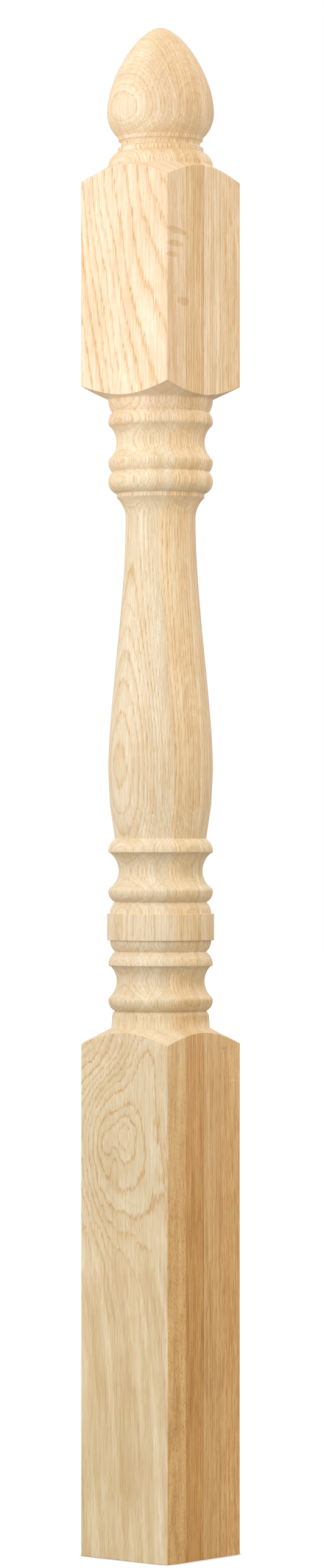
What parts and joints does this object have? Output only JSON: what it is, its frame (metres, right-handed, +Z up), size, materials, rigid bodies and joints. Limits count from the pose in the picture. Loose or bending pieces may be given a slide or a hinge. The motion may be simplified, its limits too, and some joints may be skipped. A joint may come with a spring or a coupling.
{
  "type": "newel post",
  "caption": "Turned oak newel post: square lower block, banded vase-shaped shank, square upper block and acorn finial, flat at the foot.",
  "frame": {"origin": "centre of the underside of the lower block", "axes": "+Z up the post's axis; X and Y square to the flat sides of the blocks"},
  "size_m": [0.0888, 0.0888, 1.2004],
  "materials": {
    "oak": "bare sanded oak, matt, with open pores"
  },
  "bodies": {
    "root": {"newel_post": "oak"}
  },
  "joints": []
}
